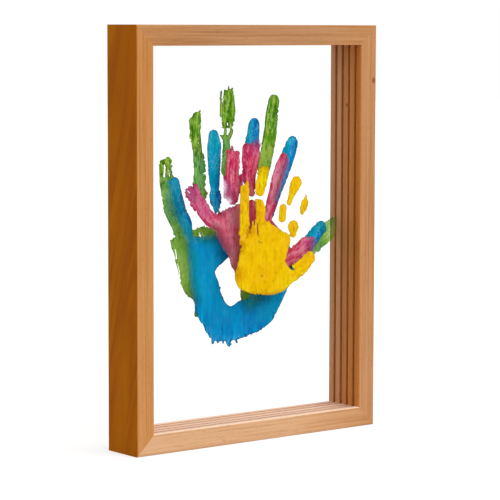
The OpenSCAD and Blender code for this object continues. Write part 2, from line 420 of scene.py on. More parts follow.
def pane_material():
    """Clear sheet: its faces show at a glancing angle only, and its sawn edges are frosted.

    Along its border, which stands in the grooves, the edge's light glows through the sheet.
    """
    material, tree, shader = new_material("clear_pane")
    facing = tree.math("ABSOLUTE", tree.split(tree.coordinates("Normal"))[1])
    sawn = tree.span(facing, *SAWN_FACING)
    place = tree.split(tree.coordinates())
    height = tree.math("SUBTRACT", place[2], PANE_MIDDLE)
    beside = tree.math("SUBTRACT", PANE_HIGH.x, tree.math("ABSOLUTE", place[0]))
    above = tree.math("SUBTRACT", PANE_HALF_HEIGHT, tree.math("ABSOLUTE", height))
    border = tree.span(tree.math("MINIMUM", beside, above), 0.0, BORDER_WIDTH, 1.0, 0.0)
    haze = tree.span(tree.noise(HAZE_SCALE, detail=2), *NOISE_RANGE, *HAZE_VEIL)
    # A glancing angle makes the sheet more solid: partly its real reflection, partly painted
    # reflection, its pale face colour standing in for the white surround
    glance = tree.node("ShaderNodeFresnel", {"IOR": PANE_IOR})
    turned_away = tree.node("ShaderNodeNewGeometry").outputs["Backfacing"]
    glancing = tree.math("MULTIPLY", tree.span(glance.outputs[0], *GLANCE_SPAN),
                         tree.math("SUBTRACT", 1.0, turned_away))
    alpha = tree.weighted((haze, 1.0), (glancing, 1.0), (sawn, SAWN_ALPHA),
                          (border, BORDER_ALPHA))
    saw_marks = tree.math("MULTIPLY", tree.noise(SAW_SCALE), sawn)
    colour = tree.blend(tree.math("MAXIMUM", sawn, border), FACE_COLOUR, EDGE_COLOUR)
    roughness = tree.math("ADD", PANE_POLISH, tree.math("MULTIPLY", sawn, SAWN_ROUGHNESS))
    tree.put(shader, {
        "Base Color": colour,
        "Alpha": alpha,
        "Roughness": roughness,
        "Normal": tree.bump(saw_marks, *SAW_BUMP),
        "IOR": PANE_IOR,
    })
    return material


# Handprints. A stroke is a list of (x, z, width) along a finger, from its tip to its root.
# x counts from the middle of the frame and z from its base. Palms and hollows are outlines of
# (x, z), and a hollow is the unpainted middle of a palm. Gaps are strokes without paint.
# Dry places are (x, z, radius), where the paint is broken into flecks. The other places are
# (x, z, radius, amount): what lies behind shows through a thin one, a pale one has a lighter
# tone, or a darker one where the amount is under 0, a tinged one turns to the paint's second
# tone, and a torn one has a more ragged edge. Pale places are partly the paint's own lighter and
# darker patches and partly painted light, which lifts spots that lie in the shadow of the prints
# in front. Fades are (line, reach, amount): the paint thins out towards a line of (x, z). The
# tinged side is how far the left side of every finger turns to the second tone, and the right
# side to the dark one. Palm marks is the share of a finger's creases and specks that its palm
# has, rough is how far the edges are pushed about, and streaks is how deep the furrows between
# the streaks are.

HANDS = {}
HANDS["green"] = {
    "strokes": [
        [(-70, 212.5, 9), (-68.5, 200, 11.5), (-63.6, 182, 14), (-56.4, 166, 12.6),
         (-52.4, 150, 15)],
        [(-66.5, 215.2, 8.5), (-66, 205, 9)],
        [(-42.6, 245, 8.6), (-41.2, 239, 10.6), (-39.4, 228, 9), (-38, 216, 8.8),
         (-37.4, 206, 9), (-37, 198, 12), (-35.4, 190, 12)],
        [(-36.6, 252.4, 2.4), (-39.6, 248.4, 8), (-39.4, 240, 8)],
        [(-34.6, 219, 4.6), (-34, 210, 7), (-34.2, 203, 7)],
        [(-34.2, 200.5, 7.2), (-34, 193, 7.4)],
        [(-11, 267.4, 3.6), (-9.8, 258, 9), (-9.6, 250, 12), (-10.4, 244, 10)],
        [(-7.2, 267.4, 5), (-7.8, 258, 9)],
        [(-8.6, 271.6, 1.4), (-8.4, 262, 3)],
        [(-5, 270, 1.6), (-5.2, 262, 3)],
        [(-12.6, 269, 1.2), (-12, 262, 3)],
        [(-4.6, 263, 3.4), (-4.6, 252, 5.4), (-6, 243, 4)],
        [(-15.9, 267.2, 1.8), (-16, 250, 3.0)],
        [(-11.8, 243, 3.2), (-11.8, 233, 3)],
        [(-7, 241, 3.8), (-6.3, 236, 3.8), (-8.4, 232, 3.8)],
        [(-16, 233.8, 1.6), (-11, 231.5, 6.6), (-10.5, 224, 7.6), (-11, 214, 8.5), (-11.5, 207, 9)],
        [(35.9, 258.8, 11.6), (33.8, 250, 12.6), (32.8, 238, 12.6), (30.9, 228, 13.2),
         (28.3, 216, 13), (25.5, 204, 12)],
        [(99, 158.6, 14.6), (86, 151.6, 17.4), (70, 142, 16), (58, 133, 18), (48, 126, 20)],
    ],
    "palm": [(-64, 157), (-62, 148.5), (-59, 139), (-55.2, 125.5), (-50.5, 115), (-42, 108),
             (-41, 97), (-37.5, 96), (-33, 102), (-22, 104), (-10, 95), (5, 88), (22, 88),
             (38, 100), (52, 116), (58, 130), (44, 154), (20, 168), (-9, 171), (-18, 176),
             (-25, 164), (-33, 165.5), (-43, 163.5), (-52, 160)],
    "hollow": [(-13.7, 109), (-18, 118), (-26, 121), (-30, 130), (-28, 139), (-20, 143),
               (-8, 142), (2, 134), (3, 120), (3, 104), (-2, 97), (-12, 98)],
    "gaps": [
        [(-69.2, 212, 1.5), (-69.7, 205, 1.8)],
        [(-64.9, 209.5, 0.9), (-64.6, 205, 0.9)],
        [(-60.5, 214.2, 2), (-63.4, 213.6, 1.2)],
        [(-72, 162.4, 3.6), (-60.6, 159.6, 2)],
        [(-29.6, 205.8, 2.8), (-32.2, 205.4, 1.4)],
        [(-59.4, 149, 0.8), (-58.6, 142, 1.1)],
        [(-57.4, 138, 0.5), (-54.8, 125, 0.9)],
        [(-36, 160.5, 0.5), (-36.6, 157, 0.8)],
        [(-33.6, 161, 0.4), (-33.4, 157.6, 0.7)],
    ],
    "dry": [(-9.5, 242.4, 2.8), (-37, 229, 2.0), (-36, 158.5, 1.4)],
    "thin": [(-9, 212, 16, 0.45), (-37, 197, 14, 0.2), (90, 156, 15, 0.4), (26, 205, 12, 0.25),
             (-57, 134, 24, 0.45), (-36, 160, 14, 0.3), (-69, 192, 8, 0.45), (-56, 164, 9, 0.35)],
    "fades": [([(104, 170), (102, 144)], 17, 0.8)],
    "tinge": [(-37, 204, 20, 0.9), (-34, 190, 12, 0.4), (-11, 216, 18, 0.8), (-63, 176, 18, 0.8),
              (-67, 193, 12, 0.9), (-57, 163, 9, 0.8), (88, 160, 9, 0.8),
              (-58, 150, 12, 0.4), (-32, 158, 9, 0.3), (78, 142, 14, 0.8), (96, 162, 8, 0.5)],
    "tinged_side": 0.0,
    "pale": [(-57, 128, 34, 0.72), (-53, 132, 14, 0.45), (-38, 160, 18, 0.26),
             (88, 153, 20, 0.30), (28, 212, 16, 0.60), (33, 232, 14, 0.08),
             (34, 250, 12, -0.14), (-42, 244, 14, -0.12), (-36, 196, 16, 0.75),
             (-37, 216, 14, 0.50), (-60, 163, 14, 0.60), (-64, 176, 14, 0.55),
             (-69, 192, 12, 0.70), (-9, 258, 10, -0.08), (-24, 157, 10, 0.4),
             (0, 100, 16, 0.45), (13, 98, 14, 0.6)],
    "torn": [(-36, 190, 10, 1), (-60, 160, 10, 0.8), (-9, 243, 8, 1)],
    "palm_marks": 1.0,
    "rough": 0.75, "streaks": 1.0, "seed": 11,
}
HANDS["blue"] = {
    "strokes": [
        [(-66.4, 199.2, 10.8), (-65.2, 189, 13.6), (-60.6, 177, 13), (-55.4, 168, 12.4),
         (-52.6, 157, 8), (-47, 148, 9)],
        [(-29, 234.2, 10), (-28.4, 227, 13.6), (-28.5, 217, 12.8), (-28.2, 204, 10.8),
         (-27.5, 193, 8.4)],
        [(-27.5, 189.5, 10.8), (-27, 184.5, 11), (-26.3, 179.5, 7), (-26.6, 176, 2.4)],
        [(10, 241.8, 10.8), (9.6, 236, 12), (8.2, 227, 14), (7.5, 215, 14), (5, 201, 12)],
        [(-2.5, 203, 3), (-4.5, 197, 5.6), (-5, 191, 3.6)],
        [(48.3, 226.6, 11.4), (45.4, 220, 13.6), (41, 209, 13.4), (35, 196, 12),
         (30, 185, 11), (25, 172, 10)],
        [(77.8, 158.6, 11.4), (71.6, 153.2, 13), (63.4, 145, 12.6), (56, 136, 14.4), (48, 127, 18)],
        [(-71, 200, 4), (-70.6, 190, 6), (-66.4, 178, 5)],
        [(-15.4, 79, 6.4), (-13.8, 73.4, 4.2)],
        [(-6.8, 80, 2), (-6.6, 74.8, 2.4)],
        [(-29.4, 80, 4), (-29.4, 76, 2.4)],
        [(-24.4, 80, 3), (-24.6, 76.2, 2.2)],
        [(-19.4, 79, 3), (-19.6, 75, 1.8)],
        [(-3, 80, 2), (-3, 77.6, 1.2)],
    ],
    "palm": [(-53.6, 158), (-54.4, 141), (-52, 120), (-46.4, 104), (-42.2, 93.5),
             (-37, 87.2), (-33.6, 81.2), (-28, 77.2), (-14, 76), (0, 77.2), (7, 79),
             (17, 82), (27, 87.2), (33.4, 95.2), (38.6, 103.2), (43, 110.6),
             (47.4, 121.6), (50, 134), (44, 150), (30, 162), (5, 168), (-20, 162),
             (-31, 160), (-42, 158)],
    "hollow": [(-14, 140.8), (-20, 137), (-27.6, 130.5), (-24, 122.5), (-22, 114),
               (-19.5, 108.6), (-13.5, 103.3), (-9, 103.8), (-4, 106.5), (3, 107.3),
               (8, 112), (9, 124), (3, 135), (-6, 142)],
    "gaps": [],
    "dry": [],
    "thin": [(6, 104, 9, 0.5), (14, 109, 9, 0.6), (24, 108, 8, 0.4), (-26.5, 182, 6, 0.15),
             (82, 159, 7, 0.4), (47, 130, 7, 0.75)],
    "fades": [([(-73, 198), (-69.4, 183.6), (-63.6, 169), (-59.6, 159)], 10, 0.92),
              ([(-58.6, 152), (-57, 141), (-54.4, 120), (-51, 110)], 15, 0.98),
              ([(-40, 163), (-33, 162.4), (-20, 164)], 15, 0.98)],
    "tinge": [(-28.5, 230, 13, 0.9), (-28.5, 212, 14, 0.6), (-68, 196, 12, 0.7), (-64, 180, 12, 0.6),
              (-54, 140, 14, 0.9), (-52, 120, 14, 0.9), (-56, 160, 12, 0.9), (28, 100, 20, 0.4),
              (8, 108, 12, 0.7), (82, 160, 8, 0.7), (-36, 158, 10, 0.6), (-36, 116, 40, 0.22)],
    "tinged_side": 0.8,
    "pale": [(-65, 196, 10, 0.12), (-29, 226, 14, 0.05), (9, 236, 14, -0.05), (46, 222, 14, 0.10),
             (74, 154, 12, 0.16), (-24, 156, 10, 0.3), (-42, 120, 14, 0.05), (22, 98, 26, -0.12),
             (10, 108, 9, 0.2), (-26, 88, 16, -0.14),
             (-26.5, 182, 8, 0.10), (-54, 160, 9, -0.15)],
    "torn": [(-30, 82, 10, 1.0), (-12, 81, 10, 0.5), (10, 82, 12, 1.2), (30, 95, 10, 1),
             (-42, 92, 9, 1), (-27, 178, 6, 0.8)],
    "palm_marks": 0.15,
    "rough": 0.36, "streaks": 0.7, "seed": 23,
}
HANDS["pink"] = {
    "strokes": [
        [(-56, 192.6, 11.4), (-51.2, 187.2, 12.8), (-45.4, 180, 12.4), (-38.6, 172.4, 12),
         (-26, 165.4, 12)],
        [(-52.4, 197.6, 5), (-50, 190, 8)],
        [(-59, 190, 4), (-54, 186, 8)],
        [(-16.2, 216, 13.4), (-16.6, 208, 13), (-16.8, 196, 12.6), (-16.6, 188, 12.4)],
        [(-17.3, 227, 1.4), (-17.2, 219, 6)],
        [(-21, 223.4, 3), (-20, 214, 6)],
        [(-12.2, 220.4, 5), (-13, 212, 6)],
        [(6.6, 227.4, 8.4), (3, 221, 14), (0.8, 212, 15.4), (-0.6, 203, 12.6), (0.4, 195, 11),
         (2, 190.4, 6.6)],
        [(-2.8, 224, 9), (-1.8, 214, 12.4)],
        [(33.4, 215.6, 8.4), (30.8, 209, 11.4), (27.6, 200, 12), (25, 191, 12), (22.2, 182.5, 11.2),
         (19, 175, 9), (15, 166, 12)],
        [(36.6, 212, 7), (33.6, 203, 9), (29.8, 193, 8)],
        [(61.8, 147, 12.4), (56, 146, 15), (48, 141, 15), (40, 138, 13)],
        [(-7.4, 203, 4.4), (-9.4, 197, 4.4), (-9.6, 193, 3)],
        [(-24.4, 203.5, 2.4), (-24, 188, 2.6)],
    ],
    "palm": [(-31, 175), (-21, 179.3), (-10, 182.4), (-1, 184.8), (5, 184), (9, 178),
             (16, 172), (22, 168), (33, 157), (37, 148), (40, 139), (36, 125), (10, 119),
             (-8, 123), (-14.5, 130), (-18, 136.5), (-21, 142.4), (-26.4, 149.6), (-31.4, 156.4),
             (-33, 164)],
    "hollow": [],
    "gaps": [
        [(-59, 194.4, 0.9), (-57.2, 191.6, 0.6)],
        [(-55.8, 198.6, 0.9), (-54.4, 196.4, 0.6)],
    ],
    "dry": [(-58.6, 185.4, 2.4), (-52, 177.6, 3)],
    "thin": [(-24, 196, 6, 0.6), (-8.5, 198, 6, 0.5), (-57, 190, 8, 0.3), (-12, 172, 12, 0.2),
             (-20, 188, 6, 0.4), (-27, 176, 5, 0.4)],
    "fades": [([(44, 224), (39.4, 210), (34, 195), (29, 184)], 10, 0.98),
              ([(-6, 232), (2, 231.4), (13, 229)], 9, 0.9),
              ([(-35, 161), (-29, 150.6), (-25.6, 146)], 12, 0.97),
              ([(69.6, 154), (65, 140)], 13, 0.95),
              ([(-60, 203), (-52, 201)], 7, 0.6),
              ([(-26, 204), (-25, 186)], 5, 0.6),
              ([(-32, 180), (-21, 183.5)], 8, 0.85)],
    "tinge": [(-57, 194, 12, 0.9), (-46, 182, 14, 0.6), (64, 148, 10, 0.8), (36, 206, 10, 0.6),
              (-22, 192, 9, 0.7), (4, 226, 9, 0.5), (28, 186, 10, 0.3)],
    "tinged_side": 0.0,
    "pale": [(-14, 150, 26, 0.14), (56, 146, 13, 0.14), (-54, 189, 12, 0.16), (30, 200, 16, 0.30),
             (-2.5, 218, 5, -0.3), (-3, 208, 6, -0.25), (-13, 174, 9, 0.4), (-13, 141, 8, 0.35)],
    "torn": [(-56, 188, 12, 0.9), (-22, 222, 8, 0.6)],
    "palm_marks": 0.4,
    "rough": 0.5, "streaks": 1.0, "seed": 37,
}
HANDS["yellow"] = {
    "strokes": [
        [(-11, 193.4, 8.8), (-11, 185, 8.8), (-11, 165, 9), (-11, 150, 10)],
        [(-8.2, 199, 2.8), (-9.4, 193, 6)],
        [(7, 206.4, 9), (5.6, 199, 10.6), (4, 192.8, 9.6)],
        [(10.4, 208.4, 4), (9.4, 201, 4), (6.8, 194, 4.6)],
        [(3.6, 182, 8), (4.8, 177.4, 9.4), (4.4, 171, 8.6), (6, 164, 10)],
        [(0, 185, 2.4), (4.6, 184.2, 2.8)],
        [(39.8, 196.8, 10.6), (37.3, 192.4, 9), (35, 187, 5.8), (32.9, 182, 4.8)],
        [(26.8, 177.4, 7.6), (26, 170.2, 7.2)],
        [(23.8, 169, 3), (25.6, 168.6, 3)],
        [(48.7, 181, 7), (47.3, 177, 7), (46, 173.4, 3.8)],
        [(49.5, 187.6, 0.9), (49.2, 184, 3.6)],
        [(37, 162.2, 11.2), (36.9, 157.6, 6.6)],
        [(54, 137.4, 10.6), (47.6, 131.6, 12), (38, 126.4, 13), (28, 126, 18)],
    ],
    "palm": [(-15.5, 163), (-16.5, 158.5), (-14.4, 153), (-16.2, 141.6), (-19, 132.6),
             (-20.4, 128.5), (-19.4, 124), (-17, 119.5), (-13.4, 116.9), (-8.6, 115.1),
             (-3.7, 113.2), (4, 112.3), (16, 111), (22, 112), (29, 114), (34, 117.5),
             (42, 123), (37, 129), (33.8, 131.6), (31.3, 135.6), (30.3, 139.6),
             (31.3, 143.4), (34.2, 150.3), (33.7, 155.7), (29.7, 158.7), (16, 165.4),
             (13, 168.6), (9, 168), (1, 170.4), (-4, 169.6), (-8, 168)],
    "hollow": [],
    "gaps": [
        [(-4.2, 176, 4), (-5, 167, 2.2), (-5.6, 160, 0.9)],
        [(-1.6, 173, 2.4), (-1.8, 166.4, 1)],
        [(1.2, 167, 0.9), (2, 161, 1.2), (2.6, 157, 0.4)],
        [(-8.6, 163, 0.4), (-8.8, 157, 0.7)],
        [(29.8, 137, 2), (33.6, 133.2, 3.4), (36, 130.4, 2), (38, 129.2, 0.6)],
        [(6, 126.4, 0.9), (6.5, 125.8, 0.7)],
        [(2.6, 153, 0.3), (6, 152, 0.3)],
    ],
    "dry": [(-15.8, 150, 2.4), (-16, 158, 2.4)],
    "thin": [(-16, 150, 6, 0.3), (-18, 130, 7, 0.25), (-5, 162, 5, 0.3)],
    "fades": [([(3, 215), (15, 213)], 8, 0.7),
              ([(-12, 110), (8, 108), (28, 109)], 8, 0.7)],
    "tinge": [(-17, 152, 8, 0.8), (-19, 130, 8, 0.6), (-4, 160, 8, 0.5), (-11, 188, 8, 0.4),
              (4, 172, 6, 0.5), (10, 124, 14, 0.35)],
    "tinged_side": 0.0,
    "pale": [(6, 202, 10, 0.45), (36, 190, 14, 0.08), (8, 115, 12, 0.04), (-12, 118, 9, 0.10),
             (30, 117, 12, 0.08), (50, 133, 10, -0.08)],
    "torn": [(4, 112, 10, 0.8), (-14, 118, 8, 0.6), (-5, 163, 7, 1), (52, 134, 10, 1.6)],
    "palm_marks": 0.5,
    "rough": 0.34, "streaks": 0.6, "seed": 41,
}

# The grid that a print is cut from, and how its edges are pushed about. Pairs are the lengths
# of a noise's waves to the side and upwards.
GRID_STEP = 0.5
GRID_MARGIN = 20
LATTICE = 256
NOISE_LAYERS = 3
LAYER_SHIFT = (17, 31)
NEAR_CORE = 0.3
CURVE_STEPS = 4
RAGGED_PATCHES = (9, 9)
WAVES, WAVE_PUSH = (6, 6), 1.8
SIDE_TEARS, SIDE_PUSH = (2.4, 1.2), 3.0
UPRIGHT_TEARS, UPRIGHT_PUSH = (1.1, 3.4), 3.4
DRY_FLECKS = (1.6, 3.2)
DRY_REACH = 1.6
DRY_SHARE = 0.62
DRY_STEEPNESS = 3.0

# Streaks along the fingers, calmer in the middle of the palm, and the sides of the fingers
STREAK_WIDTH = 1.4
STREAK_LENGTH = 12
CALM_SHARE = 0.6
CALM_DEPTH = 6
TINGE_START = 2
TINGE_WIDTH = 7
SHADE_WIDTH = 6
SIDE_SHADE = 0.25

# The sheet of paint: thin at its edge, with a low ridge just inside it
EDGE_THICKNESS = 0.06
EDGE_SLOPE = 1.3
BODY_THICKNESS = 0.17
STREAK_RELIEF = 0.6
RIDGE_THICKNESS = 0.04
RIDGE_PLACE = 0.7
RIDGE_WIDTH = 0.5
SHARP_ANGLE = math.radians(50)
PANE_GAP = 0.015
SIDE_MARGIN = 0.5


def smooth_step(value):
    value = np.clip(value, 0, 1)
    return value * value * (3 - 2 * value)


def nearness(x, z, radius):
    """1 near the middle of a place, falling softly to 0 a little past its radius."""
    return 1 - smooth_step(np.hypot(x, z) / radius - NEAR_CORE)


def lattice_noise(u, v, seed):
    """Smooth noise from 0 to 1 over a plane, from seeded random numbers a unit apart."""
    lattice = np.random.default_rng(seed).random((LATTICE, LATTICE))
    column = np.floor(u).astype(int)
    row = np.floor(v).astype(int)
    along_u = smooth_step(u - column)
    along_v = smooth_step(v - row)

    def corner(step_u, step_v):
        return lattice[(column + step_u) % LATTICE, (row + step_v) % LATTICE]

    lower = corner(0, 0) * (1 - along_u) + corner(1, 0) * along_u
    upper = corner(0, 1) * (1 - along_u) + corner(1, 1) * along_u
    return lower * (1 - along_v) + upper * along_v


def layered_noise(u, v, seed):
    """Noise from 0 to 1 with finer and weaker layers added."""
    total = np.zeros_like(u)
    weight = 0.0
    for layer in range(NOISE_LAYERS):
        size = 2 ** layer
        shift_u, shift_v = (step * layer for step in LAYER_SHIFT)
        total += lattice_noise(u * size + shift_u, v * size + shift_v, seed + layer) / size
        weight += 1 / size
    return total / weight


def stroke_level(x, z, stroke):
    """Distance outside a tapered stroke, less than 0 inside, and the places across and along it."""
    level = np.full(x.shape, np.inf)
    across = np.zeros_like(x)
    along_it = np.zeros_like(x)
    walked = 0.0
    for (x1, z1, width1), (x2, z2, width2) in zip(stroke, stroke[1:]):
        run = math.hypot(x2 - x1, z2 - z1)
        ux, uz = (x2 - x1) / run, (z2 - z1) / run
        ahead = (x - x1) * ux + (z - z1) * uz
        aside = (x - x1) * uz - (z - z1) * ux
        share = np.clip(ahead / run, 0, 1)
        radius = (width1 + (width2 - width1) * share) / 2
        distance = np.hypot(ahead - share * run, aside) - radius
        nearer = distance < level
        level = np.where(nearer, distance, level)
        across = np.where(nearer, aside, across)
        along_it = np.where(nearer, walked + ahead, along_it)
        walked += run
    return level, across, along_it


def rounded_outline(points):
    """A closed Catmull-Rom curve through the points, as a finer list of points."""
    curve = []
    count = len(points)
    for i in range(count):
        before, start, end, after = (np.array(points[(i + k) % count], float)
                                     for k in (-1, 0, 1, 2))
        for step in range(CURVE_STEPS):
            t = step / CURVE_STEPS
            curve.append(0.5 * (2 * start + (end - before) * t
                                + (2 * before - 5 * start + 4 * end - after) * t ** 2
                                + (3 * start - before - 3 * end + after) * t ** 3))
    return curve


def outline_level(x, z, points):
    """Distance outside a closed curve through the points, less than 0 inside."""
    curve = rounded_outline(points)
    nearest = np.full(x.shape, np.inf)
    inside = np.zeros(x.shape, bool)
    for (x1, z1), (x2, z2) in zip(curve, curve[1:] + curve[:1]):
        run = (x2 - x1) ** 2 + (z2 - z1) ** 2
        share = np.clip(((x - x1) * (x2 - x1) + (z - z1) * (z2 - z1)) / run, 0, 1)
        distance = np.hypot(x - x1 - share * (x2 - x1), z - z1 - share * (z2 - z1))
        nearest = np.minimum(nearest, distance)
        if z1 != z2:
            crossing = x1 + (z - z1) * (x2 - x1) / (z2 - z1)
            inside ^= ((z1 > z) != (z2 > z)) & (x < crossing)
    return np.where(inside, -nearest, nearest)


def print_fields(hand):
    """Grid lines of a handprint, its level (under 0 where paint is), and its fields by name."""
    points = [point[:2] for stroke in hand["strokes"] for point in stroke] + hand["palm"]
    low_x, low_z = (min(values) - GRID_MARGIN for values in zip(*points))
    high_x, high_z = (max(values) + GRID_MARGIN for values in zip(*points))
    columns = np.arange(low_x, high_x, GRID_STEP)
    rows = np.arange(low_z, high_z, GRID_STEP)
    plain_x, plain_z = np.meshgrid(columns, rows)
    seed = hand["seed"]

    def waves(noise, lengths, step):
        return noise(plain_x / lengths[0], plain_z / lengths[1], seed + step)

    # The places are pushed about a little, so that no painted edge is a clean curve
    push = hand["rough"]
    ragged = smooth_step(waves(layered_noise, RAGGED_PATCHES, 25) * 3 - 1)
    for place_x, place_z, radius, amount in hand["torn"]:
        ragged += amount * nearness(plain_x - place_x, plain_z - place_z, radius)
    x = plain_x + push * WAVE_PUSH * (waves(layered_noise, WAVES, 0) - NOISE_MIDDLE)
    x += push * ragged * SIDE_PUSH * (waves(lattice_noise, SIDE_TEARS, 5) - NOISE_MIDDLE)
    z = plain_z + push * WAVE_PUSH * (waves(layered_noise, WAVES, 10) - NOISE_MIDDLE)
    z += push * ragged * UPRIGHT_PUSH * (waves(lattice_noise, UPRIGHT_TEARS, 15) - NOISE_MIDDLE)

    level = outline_level(x, z, hand["palm"])
    calm = CALM_SHARE * smooth_step(-level / CALM_DEPTH)
    if hand["hollow"]:
        level = np.maximum(level, -outline_level(x, z, hand["hollow"]))
    across, along_it = plain_x, plain_z
    tinge = np.zeros_like(level)
    shade = np.zeros_like(level)
    for stroke in hand["strokes"]:
        distance, aside, ahead = stroke_level(x, z, stroke)
        nearer = distance < level
        level = np.where(nearer, distance, level)
        across = np.where(nearer, aside, across)
        along_it = np.where(nearer, ahead, along_it)
        left = hand["tinged_side"] * smooth_step((aside + TINGE_START) / TINGE_WIDTH)
        right = hand["tinged_side"] * smooth_step(-aside / SHADE_WIDTH)
        tinge = np.where(nearer, left, tinge)
        shade = np.where(nearer, right, shade)
    for stroke in hand["gaps"]:
        level = np.maximum(level, -stroke_level(x, z, stroke)[0])
    tinge *= 1 - calm
    streaks = layered_noise(across / STREAK_WIDTH + seed, along_it / STREAK_LENGTH, seed + 20)
    streaks = NOISE_MIDDLE + (streaks - NOISE_MIDDLE + SIDE_SHADE * shade) * (1 - calm)
    for dry_x, dry_z, radius in hand["dry"]:
        distance = np.hypot(plain_x - dry_x, plain_z - dry_z)
        closeness = 1 - smooth_step(distance / (radius * DRY_REACH))
        broken = waves(layered_noise, DRY_FLECKS, 30)
        level = np.maximum(level, (closeness * DRY_SHARE - broken) * DRY_STEEPNESS)
    cover = np.ones_like(level)
    for place_x, place_z, radius, amount in hand["thin"]:
        cover *= 1 - amount * nearness(x - place_x, z - place_z, radius)
    for line, reach, amount in hand["fades"]:
        distance = stroke_level(x, z, [(line_x, line_z, 0) for line_x, line_z in line])[0]
        cover *= 1 - amount * (1 - smooth_step(distance / reach))
    # Pale places: partly the paint's own tone, partly painted light on spots in the shadow of the
    # prints in front
    for place_x, place_z, radius, amount in hand["pale"]:
        streaks -= amount * nearness(x - place_x, z - place_z, radius)
    for place_x, place_z, radius, amount in hand["tinge"]:
        tinge = np.maximum(tinge, amount * nearness(x - place_x, z - place_z, radius))
    level = np.maximum(level, np.abs(plain_x) - (HALF_OPENING / MM - SIDE_MARGIN))
    fields = {"depth": -level, "streak": streaks, "cover": cover, "tinge": tinge,
              "marks": 1 - calm / CALM_SHARE * (1 - hand["palm_marks"])}
    return columns, rows, level, fields


def print_mesh(name, columns, rows, level, fields, back, relief):
    """A closed sheet of paint where level is under 0: flat behind, raised by its streaks in front.

    Its points carry the fields, for the material to use.
    """
    depth = fields["depth"]
    body = BODY_THICKNESS * smooth_step(depth / EDGE_SLOPE)
    thickness = EDGE_THICKNESS + body * (1 - STREAK_RELIEF * relief * (1 - fields["streak"]))
    thickness += RIDGE_THICKNESS * np.exp(-((depth - RIDGE_PLACE) / RIDGE_WIDTH) ** 2)
    front_points, back_points, sources = [], [], []
    known = {}

    def add_point(key, x, z, thick, i, j):
        if key not in known:
            known[key] = len(front_points)
            front_points.append((x * MM, back - thick * MM, z * MM))
            back_points.append((x * MM, back, z * MM))
            sources.append((j, i))
        return known[key]

    def corner_point(i, j):
        return add_point((i, j), columns[i], rows[j], thickness[j, i], i, j)

    def crossing_point(i1, j1, i2, j2):
        key = (min((i1, j1), (i2, j2)), max((i1, j1), (i2, j2)))
        (i1, j1), (i2, j2) = key
        share = level[j1, i1] / (level[j1, i1] - level[j2, i2])
        x = columns[i1] + (columns[i2] - columns[i1]) * share
        z = rows[j1] + (rows[j2] - rows[j1]) * share
        return add_point(key, x, z, EDGE_THICKNESS, i1, j1)

    # Each grid square gives a face of its painted part, and a rim where the edge crosses it
    painted = level < 0
    partly = painted[:-1, :-1] | painted[1:, :-1] | painted[:-1, 1:] | painted[1:, 1:]
    faces, rims = [], []
    for j, i in zip(*np.nonzero(partly)):
        ring = [(i, j), (i + 1, j), (i + 1, j + 1), (i, j + 1)]
        face, crossings = [], []
        for (i1, j1), (i2, j2) in zip(ring, ring[1:] + ring[:1]):
            if painted[j1, i1]:
                face.append(corner_point(i1, j1))
            if painted[j1, i1] != painted[j2, i2]:
                point = crossing_point(i1, j1, i2, j2)
                face.append(point)
                crossings.append((point, painted[j1, i1]))
        faces.append(face)
        for k, (point, leaving) in enumerate(crossings):
            if leaving:
                rims.append((point, crossings[(k + 1) % len(crossings)][0]))

    count = len(front_points)
    polygons = list(faces)
    polygons += [[count + k for k in reversed(face)] for face in faces]
    polygons += [[second, first, count + first, count + second] for first, second in rims]
    mesh = bpy.data.meshes.new(name)
    mesh.from_pydata(front_points + back_points, [], polygons)
    mesh.polygons.foreach_set("use_smooth", [True] * len(polygons))
    rows_used, columns_used = np.array(sources).T
    for key, field in fields.items():
        values = np.maximum(field[rows_used, columns_used], 0)
        attribute = mesh.attributes.new(key, "FLOAT", "POINT")
        attribute.data.foreach_set("value", np.concatenate([values, values]))
    mesh.set_sharp_from_angle(angle=SHARP_ANGLE)
    mesh.update()
    return mesh


# Paint. Colours run from the thin, light streaks to the full, dark ones. Veins are thin light
# lines where the paint parted while it was wet, creases are dark ones, and specks are pale dots,
# partly bare spots in the dried paint and partly painted glints. The grain is how much the
# streaks, the mottle and the speckle count.

PAINTS = {
    "green": {"light": linear(184, 218, 84), "full": linear(116, 180, 28), "dark": linear(60, 130, 4),
              "rim": linear(54, 98, 6), "vein": linear(206, 228, 130), "crease": linear(36, 84, 0),
              "tinge": linear(100, 214, 146), "through": linear(176, 214, 96), "cover": (0.72, 0.94),
              "grain": (0.52, 0.34, 0.14), "veins": 0.85, "creases": 0.9, "specks": 0.35},
    "blue": {"light": linear(0, 188, 236), "full": linear(0, 156, 220), "dark": linear(0, 112, 184),
             "rim": linear(0, 82, 134), "vein": linear(110, 212, 240), "crease": linear(0, 84, 140),
             "tinge": linear(0, 168, 182), "through": linear(150, 216, 236), "cover": (0.93, 0.99),
             "grain": (0.42, 0.46, 0.12), "veins": 0.5, "creases": 0.4, "specks": 0.5},
    "pink": {"light": linear(248, 152, 170), "full": linear(228, 90, 122), "dark": linear(206, 32, 82),
             "rim": linear(148, 34, 66), "vein": linear(246, 180, 202), "crease": linear(176, 6, 66),
             "tinge": linear(204, 74, 146), "through": linear(176, 84, 144), "cover": (0.84, 0.97),
             "grain": (0.54, 0.34, 0.12), "veins": 0.42, "creases": 0.7, "specks": 0.35},
    "yellow": {"light": linear(255, 226, 6), "full": linear(255, 206, 0), "dark": linear(246, 184, 0),
               "rim": linear(204, 166, 4), "vein": linear(255, 236, 90), "crease": linear(140, 92, 0),
               "tinge": linear(246, 170, 0), "through": linear(255, 225, 60), "cover": (0.94, 0.99),
               "grain": (0.42, 0.50, 0.08), "veins": 0.3, "creases": 0.5, "specks": 0.1},
}
CLEAR = linear(254, 252, 253)

# Where the tones, the cover and the tint of thin paint lie, and how the paint shines
PAINT_TONES = ("light", "full", "dark", "rim")
PAINT_PLACES = (0.36, 0.48, 0.62, 0.86)
COVER_TONES = (0.36, 0.56)
TINT_SPAN = (0.05, 0.7)
PAINT_ROUGHNESS = (0.26, 0.44)
PAINT_SHINE = 0.024
PAINT_BUMP = (0.5, 0.14 * MM)

